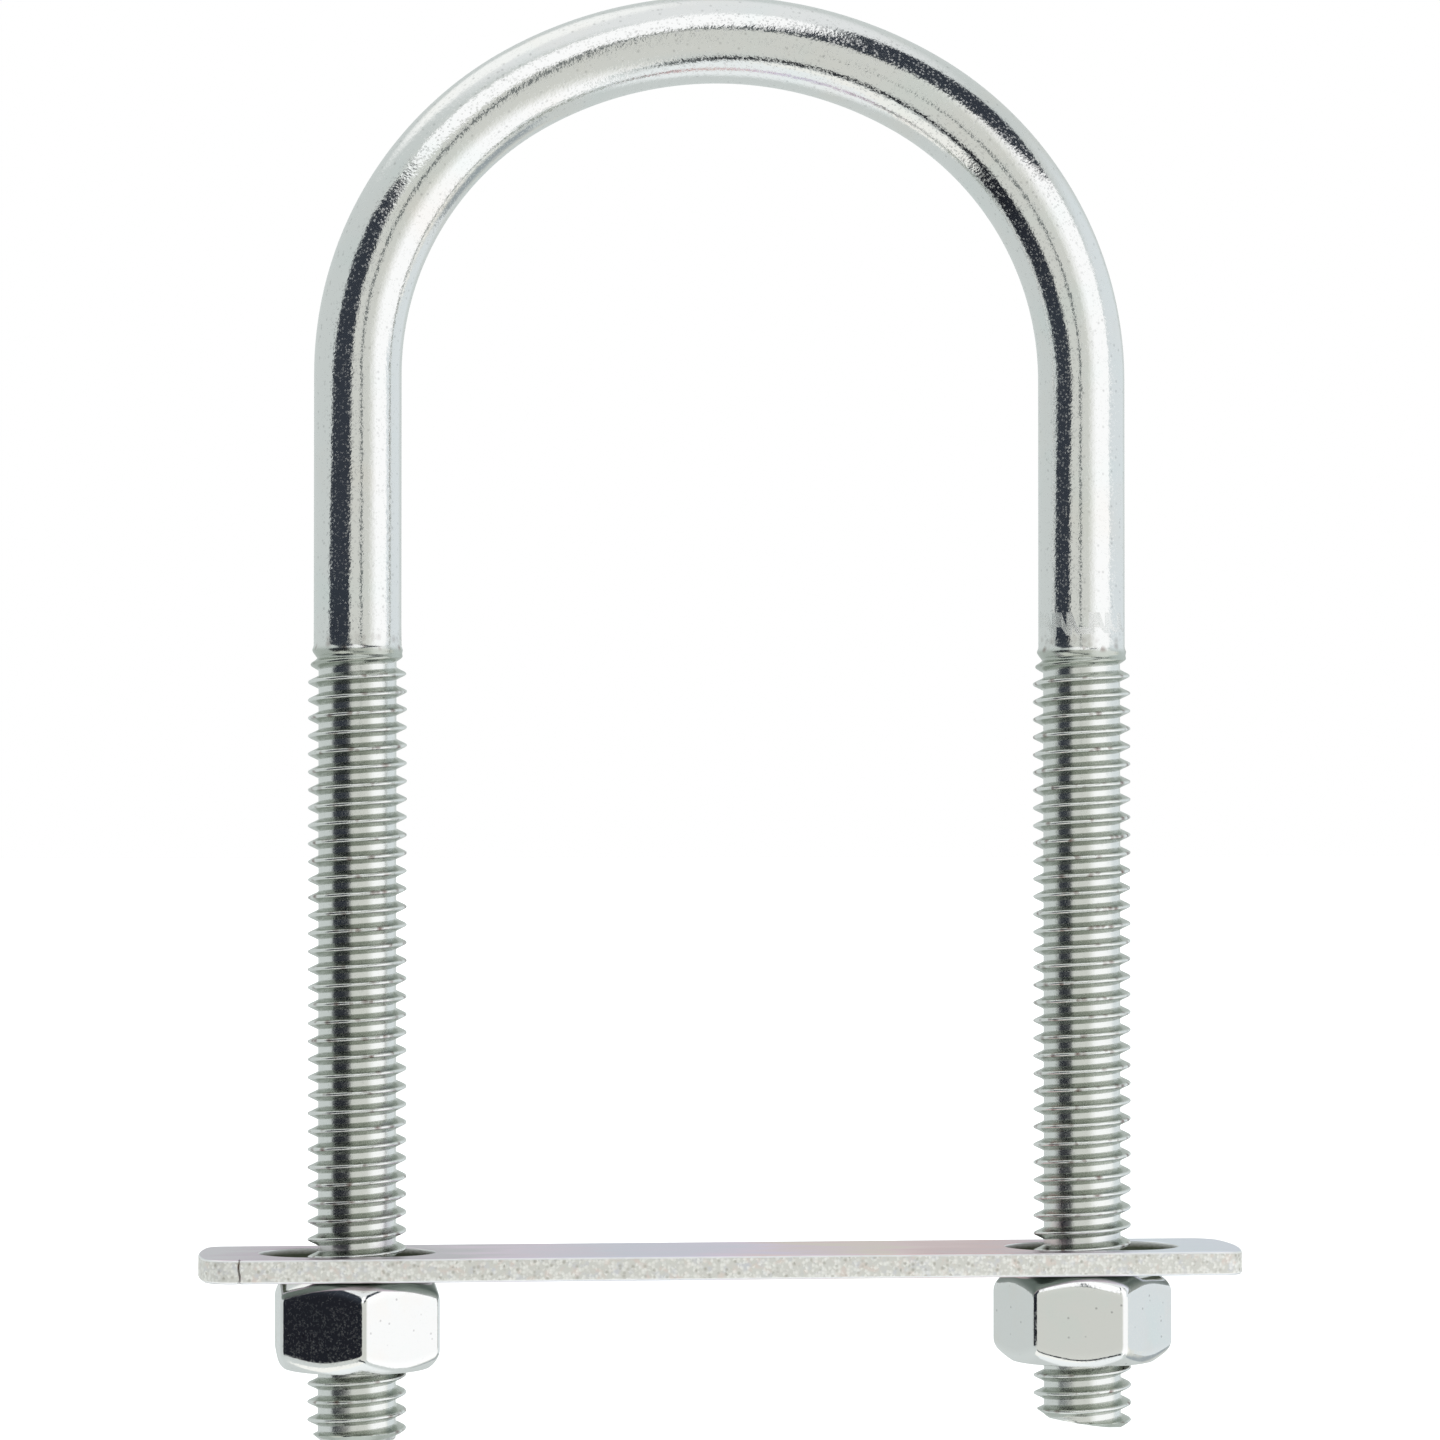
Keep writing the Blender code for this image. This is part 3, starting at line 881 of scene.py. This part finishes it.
def straight_places(first, last):
    """X positions along a long edge, in even steps, with a tight cluster round the tear."""
    count = math.ceil(abs(last - first) / EDGE_STEP)
    places = [first + (last - first) * step / count for step in range(1, count)]
    clear = [x for x in places if abs(x - TEAR_X) > 3 * TEAR_HALF_WIDTH]
    cluster = [TEAR_X + share * TEAR_HALF_WIDTH for share in (-2, -1, -0.5, 0, 0.5, 1, 2)]
    return sorted(clear + cluster, reverse=last < first)


def strap_corner(corner_radius):
    """Where a rounded corner meets the bowed end: the corner's centre x and y, and the angle."""
    corner_y = HALF_WIDTH - corner_radius
    turn = math.asin(corner_y / (BOW_RADIUS - corner_radius))
    return HALF_LENGTH - BOW_RADIUS + (BOW_RADIUS - corner_radius) * math.cos(turn), corner_y, turn


def strap_outline(inset):
    """The strap from above, drawn smaller by an inset, with a point count that never changes."""
    tight_x, tight_y, tight_turn = strap_corner(TIGHT_CORNER)
    easy_x, easy_y, easy_turn = strap_corner(EASY_CORNER)
    right = arc(tight_x, -tight_y, TIGHT_CORNER - inset, -math.pi / 2, -tight_turn, 12)
    bow = arc(HALF_LENGTH - BOW_RADIUS, 0.0, BOW_RADIUS - inset, -tight_turn, easy_turn, 30)
    right += bow[1:-1]
    right += arc(easy_x, easy_y, EASY_CORNER - inset, easy_turn, math.pi / 2, 16)
    left = [(-x, -y) for x, y in right]
    back = [(x, HALF_WIDTH - inset) for x in straight_places(easy_x, -tight_x)]
    front = [(x, inset - HALF_WIDTH) for x in straight_places(-easy_x, tight_x)]
    return right + back + left + front


def slot_outline(centre_x, widened):
    """A slot with half-round ends, drawn larger by an amount."""
    radius = SLOT_RADIUS + widened
    reach = SLOT_HALF_LENGTH - SLOT_RADIUS
    right = arc(centre_x + reach, 0.0, radius, -math.pi / 2, math.pi / 2, 32)
    left = arc(centre_x - reach, 0.0, radius, math.pi / 2, 3 * math.pi / 2, 32)
    return right + left


print("the strap's outline has", len(strap_outline(0.0)), "points")

# %% Strap edges
def edge_profile(height, edge_radius, rows):
    """(inset, height) from the flat underside round the edge to the flat top."""
    profile = [(2.2 * edge_radius, 0.0)]
    for step in range(5):
        angle = math.pi / 2 * step / 4
        profile.append((edge_radius * (1 - math.sin(angle)), edge_radius * (1 - math.cos(angle))))
    middle = height - 2 * edge_radius
    for row in range(1, rows):
        profile.append((0.0, edge_radius + middle * row / rows))
    upper = [(inset, height - z) for inset, z in profile[5::-1]]
    return profile + upper


def tear_pull(x, y, z, height):
    """How far a point on the front edge is pulled in by the tear; the crack wanders as it rises."""
    if y > -HALF_WIDTH + 2.5 * EDGE_RADIUS:
        return 0.0
    wander = 0.05 * MM * math.sin(z / height * 7.0)
    widening = 1.0 + 1.2 * smooth(1 - z / (0.5 * MM))
    off = abs(x - TEAR_X - wander) / (TEAR_HALF_WIDTH * widening)
    return TEAR_DEPTH * max(0.0, 1 - off)


def edge_wall(bm, outline_at, profile, base_z, grain, layers):
    """Rings of vertices up an edge, joined by quads; returns the lowest and the highest ring.

    The layers are one or two attributes: the first is 1 on the side of the edge, the second only
    well inside it, clear of the rounded rims.
    """
    height = profile[-1][1]
    rings = []
    for inset, z in profile:
        to_face = height / 2 - abs(z - height / 2)
        on_side = smooth(to_face / EDGE_RADIUS)
        inside = smooth((to_face - SLOT_EDGE_RADIUS) / (0.25 * MM))
        ring = []
        for x, y in outline_at(inset):
            point = Vector((x, y, z))
            on_long_edge = abs(x) < HALF_LENGTH - EASY_CORNER
            outward = Vector((0, y, 0)) if on_long_edge else Vector((x, 0, 0))
            outward.normalize()
            point += outward * grain * on_side * noise.noise(point / MM * 3.1)
            point.y += tear_pull(x, y, z, height)
            vert = bm.verts.new(point + Vector((0, 0, base_z)))
            for layer, value in zip(layers, (on_side, inside)):
                vert[layer] = value
            ring.append(vert)
        rings.append(ring)
    bridge(bm, rings)
    return rings[0], rings[-1]


def cap(bm, loops):
    """Fill the area between an outer ring of vertices and the rings inside it."""
    edges = []
    for loop in loops:
        for step, vert in enumerate(loop):
            after = loop[(step + 1) % len(loop)]
            edges.append(bm.edges.get((vert, after)) or bm.edges.new((vert, after)))
    bmesh.ops.triangle_fill(bm, edges=edges, use_beauty=True)


def make_strap(material):
    """The strap with its two slots, rounded edges, grainy sides and the tear."""
    bm = bmesh.new()
    cut_layer = bm.verts.layers.float.new("cut_edge")
    # The bore layer marks the slot walls, which get a painted shade.
    bore_layer = bm.verts.layers.float.new("bore")
    under_layer = bm.verts.layers.float.new("underside")
    height = plate_high.z - plate_low.z
    outer = edge_profile(height, EDGE_RADIUS, 10)
    inner = edge_profile(height, SLOT_EDGE_RADIUS, 4)
    outer_low, outer_high = edge_wall(
        bm, strap_outline, outer, plate_low.z, EDGE_GRAIN, [cut_layer])
    lows = [outer_low]
    highs = [outer_high]
    for centre_x in (-SLOT_X, SLOT_X):
        def slot_at(inset, centre_x=centre_x):
            """This slot's outline; its edge is rounded outwards, so an inset widens it."""
            return slot_outline(centre_x, inset)
        low, high = edge_wall(bm, slot_at, inner, plate_low.z, 0.0, [cut_layer, bore_layer])
        lows.append(low)
        highs.append(high)
    # Mark the strap's underside for its painted shade.
    for loop in lows:
        for vert in loop:
            vert[under_layer] = 1.0
    cap(bm, lows)
    cap(bm, highs)
    return finish_piece("slotted_strap", bm, material, 40)


print("the strap's end bows with a radius of", round(BOW_RADIUS / MM, 1), "mm")

# %% [markdown]
# ## The strap's finish
# Rolled flat bar takes zinc as a satin, and the passivation over it shows faint interference
# colours: a dusty pink at the left, lavender in the middle, rose and peach near the right slot and
# pale blue beyond it. The cut edge is another surface: matt, warm and granular, with bright flecks.

# %% Rainbow of the passivation, from the strap's left end to its right end
RAINBOW = [
    (0.0, (0.73, 0.67, 0.72)), (0.06, (0.66, 0.53, 0.62)), (0.22, (0.66, 0.60, 0.65)),
    (0.3, (0.85, 0.70, 0.82)), (0.41, (0.77, 0.74, 0.86)), (0.47, (0.80, 0.73, 0.87)),
    (0.52, (0.88, 0.72, 0.87)), (0.57, (0.88, 0.69, 0.73)), (0.61, (0.88, 0.73, 0.65)),
    (0.66, (0.90, 0.67, 0.68)), (0.73, (0.82, 0.57, 0.58)), (0.79, (0.74, 0.58, 0.64)),
    (0.86, (0.84, 0.80, 0.93)), (0.93, (0.89, 0.92, 1.0)), (1.0, (0.88, 0.88, 0.98)),
]
print("the rainbow has", len(RAINBOW), "stops")

# %% Strap material
CUT_BRIGHT = (1.0, 0.99, 0.96, 1)
PIT_BROWN = (0.44, 0.42, 0.37, 1)
# Painted highlight for the rounded rims of the strap's edges.
STRAP_RIM_HIGHLIGHT = (0.97, 0.97, 0.97, 1)
# Painted shade for the slot walls.
SLOT_WALL_SHADE = (0.13, 0.15, 0.10, 1)
# Painted shade for the strap's underside.
UNDERSIDE_SHADE = (0.18, 0.21, 0.19, 1)


def strap_finish():
    """Satin faces with faint rainbow patches, a granular cut edge, a painted highlight on the rims, and
    painted shade on the slot walls and the underside.
    """
    material, tree, shader = metal_material("plate_zinc_finish")
    place = tree.nodes.new("ShaderNodeTexCoord").outputs["Object"]
    cut_edge = attribute(tree, "cut_edge")
    cut = map_range(tree, cut_edge, 0.2, 0.9)
    along = tree.nodes.new("ShaderNodeSeparateXYZ")
    tree.links.new(place, along.inputs["Vector"])
    squeezed = vector_math(tree, "MULTIPLY", place, (1.0, 2.2, 1.0))
    drift = noise_node(tree, squeezed, 110.0, 3.0)
    wobble = math_node(tree, "MULTIPLY", math_node(tree, "SUBTRACT", drift, 0.5), 0.3)
    spread = map_range(tree, along.outputs["X"], -HALF_LENGTH, HALF_LENGTH)
    spread.node.interpolation_type = "LINEAR"
    where = math_node(tree, "ADD", spread, wobble, clamp=True)
    rainbow = tree.nodes.new("ShaderNodeValToRGB")
    ramp = rainbow.color_ramp
    ramp.elements[0].position = RAINBOW[0][0]
    ramp.elements[0].color = (*RAINBOW[0][1], 1)
    ramp.elements[1].position = RAINBOW[-1][0]
    ramp.elements[1].color = (*RAINBOW[-1][1], 1)
    for position, shade in RAINBOW[1:-1]:
        ramp.elements.new(position).color = (*shade, 1)
    tree.links.new(where, rainbow.inputs["Fac"])
    fleck = place_group(tree, SPECKS, Vector=place, Scale=3900.0, Size=0.95, Share=0.5)
    pits = place_group(tree, SPECKS, Vector=place, Scale=3000.0, Size=0.6, Share=0.22)
    mottled = place_group(
        tree, TINT, Vector=place, Patch_Scale=1300.0, Amount=1.0, Zinc=(0.70, 0.69, 0.65, 1),
        Warm=(0.74, 0.66, 0.61, 1), Cool=(0.66, 0.66, 0.68, 1))
    bright = math_node(tree, "MULTIPLY", fleck.outputs["Mask"], 0.75)
    edge_colour = mixed(tree, bright, mottled.outputs["Color"], CUT_BRIGHT)
    edge_colour = mixed(tree, pits.outputs["Mask"], edge_colour, PIT_BROWN)
    colour = mixed(tree, cut, rainbow.outputs["Color"], edge_colour)
    # Painted highlight: the rounded rims, where the cut edge meets the faces, are brightened towards
    # white.
    rim_highlight = math_node(tree, "MULTIPLY", map_range(tree, cut_edge, 0.02, 0.3),
                         map_range(tree, cut_edge, 0.95, 0.6))
    colour = mixed(tree, rim_highlight, colour, STRAP_RIM_HIGHLIGHT)
    # Painted shade: the slot walls are darkened.
    colour = mixed(tree, attribute(tree, "bore"), colour, SLOT_WALL_SHADE)
    # Painted shade: the strap's underside is darkened.
    colour = mixed(tree, attribute(tree, "underside"), colour, UNDERSIDE_SHADE)
    tree.links.new(colour, shader.inputs["Base Color"])
    tree.links.new(map_range(tree, cut, 0.0, 1.0, 0.3, 0.6), shader.inputs["Roughness"])
    tree.links.new(map_range(tree, cut, 0.0, 1.0, 1.0, 0.4), shader.inputs["Metallic"])
    stretched = vector_math(tree, "MULTIPLY", place, (0.05, 1.0, 1.0))
    brushed = noise_node(tree, stretched, 4000.0, 2.0)
    satin = bump(tree, brushed, 2.5e-6)
    grain = place_group(tree, GRAIN, Vector=place, Peel_Scale=2600.0, Grit_Scale=7000.0, Grit=0.7)
    from_middle = math_node(tree, "ABSOLUTE", along.outputs["X"])
    ends = map_range(tree, from_middle, 38.0 * MM, 38.6 * MM, 1.0, 0.4)
    grain_depth = math_node(tree, "MULTIPLY", map_range(tree, cut, 0.0, 1.0, 0.1, 1.0), ends)
    grain_height = math_node(tree, "MULTIPLY", grain.outputs["Height"], grain_depth)
    normal = bump(tree, grain_height, 4.5e-5, below=satin)
    tree.links.new(normal, shader.inputs["Normal"])
    return material


slotted_strap = make_strap(strap_finish())

# %% [markdown]
# ## The hex nuts
# A cold-formed nut is a hexagon whose two ends are turned to a cone, so each flat ends in a curved
# rim that is highest at its middle. A Boolean of a prism and a cone gives that shape with sharp
# seams. Here the rim is worked out for each column of the mesh instead: where the cone meets the
# flat is known exactly, so a soft fillet can follow the curve, and the upright corners are rounded
# as well. The bore carries a thread in step with the leg's thread and a little clear of it.

# %% Nut dimensions
HALF_FLATS = 6.225 * MM
NUT_HEIGHT = nut_high.z - nut_low.z
NUT_TOP = plate_low.z - 0.05 * MM
NUT_CORNER_RADIUS = 0.68 * MM
NUT_FACE_RADIUS = 5.68 * MM
CHAMFER_SLOPE = math.tan(math.radians(35))
RIM_FILLET = 0.7 * MM
COUNTERSINK_RADIUS = 4.25 * MM
COUNTERSINK_DEPTH = 0.3 * MM
THREAD_CLEARANCE = 0.15 * MM
BORE_GROOVE_RADIUS = CREST_RADIUS + THREAD_CLEARANCE
BORE_MARGIN = 0.45 * MM
PLAIN_BORE = 1.9 * MM
BORE_RUN_IN = 0.6 * MM
# A nut's outline has a corner on +X; turning it by -90 degrees brings that corner to the front.
LEFT_NUT_TURN = math.radians(2.9 - 90)
RIGHT_NUT_TURN = math.radians(18.3 - 90)
FACE_STEPS = 14
CORNER_STEPS = 8
FILLET_STEPS = 8
print("nut is", round(NUT_HEIGHT / MM, 2), "mm high")


# %% Nut outline
def nut_columns():
    """(angle, radius) round the nut: six flats with rounded corners, a corner at angle 0."""
    corner_centre = (HALF_FLATS - NUT_CORNER_RADIUS) / math.cos(math.pi / 6)
    tangent = math.atan2(corner_centre * math.sin(math.pi / 6), HALF_FLATS)
    columns = []
    for side in range(6):
        corner_angle = side * math.pi / 3
        for step in range(CORNER_STEPS):
            turn = (2 * step / CORNER_STEPS - 1) * (math.pi / 6 - tangent)
            reach = math.sqrt(NUT_CORNER_RADIUS ** 2 - (corner_centre * math.sin(turn)) ** 2)
            columns.append((corner_angle + turn, corner_centre * math.cos(turn) + reach))
        for step in range(FACE_STEPS):
            lean = -tangent + 2 * tangent * step / FACE_STEPS
            angle = corner_angle + math.pi / 6 + lean
            columns.append((angle, HALF_FLATS / math.cos(lean)))
    return columns


def nut_profile(radius):
    """(radius, depth below the face) down one column, from the bearing face to the flat."""
    run = radius - NUT_FACE_RADIUS
    depth = run * CHAMFER_SLOPE
    points = [(NUT_FACE_RADIUS - 0.25 * MM, 0.0), (NUT_FACE_RADIUS - 0.07 * MM, 0.0),
              (NUT_FACE_RADIUS - 0.02 * MM, 0.012 * MM),
              (NUT_FACE_RADIUS + 0.05 * MM, 0.05 * MM * CHAMFER_SLOPE + 0.004 * MM)]
    start = max(0.12 * run, run - RIM_FILLET)
    for share in (0.35, 0.7):
        points.append((NUT_FACE_RADIUS + start * share, start * share * CHAMFER_SLOPE))
    first = Vector((NUT_FACE_RADIUS + start, start * CHAMFER_SLOPE))
    corner = Vector((radius, depth))
    last = Vector((radius, depth + RIM_FILLET))
    for step in range(FILLET_STEPS + 1):
        t = step / FILLET_STEPS
        point = (1 - t) ** 2 * first + 2 * t * (1 - t) * corner + t ** 2 * last
        points.append((point.x, point.y))
    points.append((radius, depth + RIM_FILLET + 0.12 * MM))
    return points


print("a nut has", len(nut_columns()), "columns")

# %% Build a nut
RIM_MIDDLE_ROW = 10
RIM_ROWS = 5


def nut_end(bm, columns, face_z, sign, layer):
    """Rings from the bearing face to the start of the flats; sign is +1 for the upper end."""
    profiles = [nut_profile(radius) for angle, radius in columns]
    rings = []
    for row in range(len(profiles[0])):
        ring = []
        for (angle, outer), profile in zip(columns, profiles):
            radius, depth = profile[row]
            z = face_z - sign * depth
            vert = bm.verts.new((radius * math.cos(angle), radius * math.sin(angle), z))
            vert[layer] = smooth(1 - abs(row - RIM_MIDDLE_ROW) / RIM_ROWS)
            ring.append(vert)
        rings.append(ring)
    return rings


def make_nut(name, axis_x, turn, material):
    """A double-chamfered hex nut with rounded corners and a threaded bore."""
    bm = bmesh.new()
    layer = bm.verts.layers.float.new("rim")
    columns = nut_columns()
    bottom_z = NUT_TOP - NUT_HEIGHT
    upper = nut_end(bm, columns, NUT_HEIGHT, 1, layer)
    lower = nut_end(bm, columns, 0.0, -1, layer)
    bridge(bm, upper)
    bridge(bm, lower)
    bridge(bm, [upper[-1], lower[-1]])

    z_at_zero = THREAD_START - bottom_z + PITCH * turn / (2 * math.pi)
    first_step = math.ceil((BORE_MARGIN - z_at_zero) / PITCH * STEPS)
    last_step = math.floor((NUT_HEIGHT - BORE_MARGIN - z_at_zero) / PITCH * STEPS) - STEPS

    def make_vert(angle, z, place):
        """A vertex of the bore: ridges that stand in the leg's roots, plain near the faces."""
        to_face = min(z, NUT_HEIGHT - z)
        grown = smooth((to_face - PLAIN_BORE) / BORE_RUN_IN)
        full_ridge = BORE_GROOVE_RADIUS - ROOT_RADIUS - THREAD_CLEARANCE
        ridge = full_ridge * (1 - ridge_share(place))
        radius = BORE_GROOVE_RADIUS - ridge * grown
        return bm.verts.new((radius * math.cos(angle), radius * math.sin(angle), z))

    bottom, top = helical_lattice(
        bm, make_vert, z_at_zero, first_step, last_step, ROW_PLACES[::2])
    bottom_end = (bottom, 0.0, -1, lower[0])
    top_end = (top, NUT_HEIGHT, 1, upper[0])
    for end, face_z, sign, face_ring in (bottom_end, top_end):
        mouth_z = face_z - sign * COUNTERSINK_DEPTH
        throat = []
        mouth = []
        for step in range(STEPS):
            angle = 2 * math.pi * step / STEPS
            ray = Vector((math.cos(angle), math.sin(angle), 0))
            throat.append(bm.verts.new(ray * BORE_GROOVE_RADIUS + Vector((0, 0, mouth_z))))
            mouth.append(bm.verts.new(ray * COUNTERSINK_RADIUS + Vector((0, 0, face_z))))
        close_lattice(bm, end, throat)
        bridge(bm, [throat, mouth])
        cap(bm, [face_ring, mouth])
    nut = finish_piece(name, bm, material, 30)
    place = Matrix.Translation((axis_x, 0.0, bottom_z)) @ Matrix.Rotation(turn, 4, "Z")
    nut.data.transform(place)
    return nut


print("the bore's thread starts", round(PLAIN_BORE / MM, 1), "mm inside each face")

# %% [markdown]
# ## The nuts' finish
# The nuts are barrel-plated: the flats are bright mirrors with a fine frost and a few dark specks,
# and knocks in the barrel wear the rims smooth; the rims' brighter colour is a painted highlight.

# %% Nut material
NUT_RIM_HIGHLIGHT = (0.93, 0.93, 0.92, 1)


def nut_finish():
    """Mirror-bright flats peppered with frosted specks, and rims worn by knocks and brightened as a
    painted highlight.
    """
    material, tree, shader = metal_material("nut_zinc_finish")
    place = tree.nodes.new("ShaderNodeTexCoord").outputs["Object"]
    rim = attribute(tree, "rim")
    tint = place_group(tree, TINT, Vector=place, Patch_Scale=260.0, Amount=0.35)
    specks = place_group(tree, SPECKS, Vector=place, Scale=1500.0, Size=0.2, Share=0.3)
    dark = math_node(tree, "MULTIPLY", specks.outputs["Mask"], 0.8)
    colour = mixed(tree, dark, tint.outputs["Color"], SPECK_GREY)
    # Painted highlight: the rims between the chamfers and the flats are brightened.
    colour = mixed(tree, rim, colour, NUT_RIM_HIGHLIGHT)
    tree.links.new(colour, shader.inputs["Base Color"])
    frost = place_group(tree, SPECKS, Vector=place, Scale=4600.0, Size=0.85, Share=0.6)
    grain = place_group(tree, GRAIN, Vector=place, Peel_Scale=1600.0, Grit_Scale=6500.0, Grit=0.45)
    rough = map_range(tree, frost.outputs["Mask"], 0.0, 0.8, 0.07, 0.22)
    tree.links.new(rough, shader.inputs["Roughness"])
    normal = bump(tree, grain.outputs["Height"], 6e-6)
    tree.links.new(normal, shader.inputs["Normal"])
    return material


NUT_FINISH = nut_finish()
left_hex_nut = make_nut("hex_nut_left", -LEG_X, LEFT_NUT_TURN, NUT_FINISH)
right_hex_nut = make_nut("hex_nut_right", LEG_X, RIGHT_NUT_TURN, NUT_FINISH)

# %% [markdown]
# ## Hand the pieces to the frame
# Each piece rides on a body of the mechanism and takes the place of one plain solid.

# %% Ride and replace
for piece, body, slot in (
    (bent_rod, "u_bolt", "rod_zinc"),
    (slotted_strap, "strap_plate", "plate_zinc"),
    (left_hex_nut, "left_nut", "nut_zinc"),
    (right_hex_nut, "right_nut", "nut_zinc"),
):
    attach(piece, body)
    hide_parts(body)
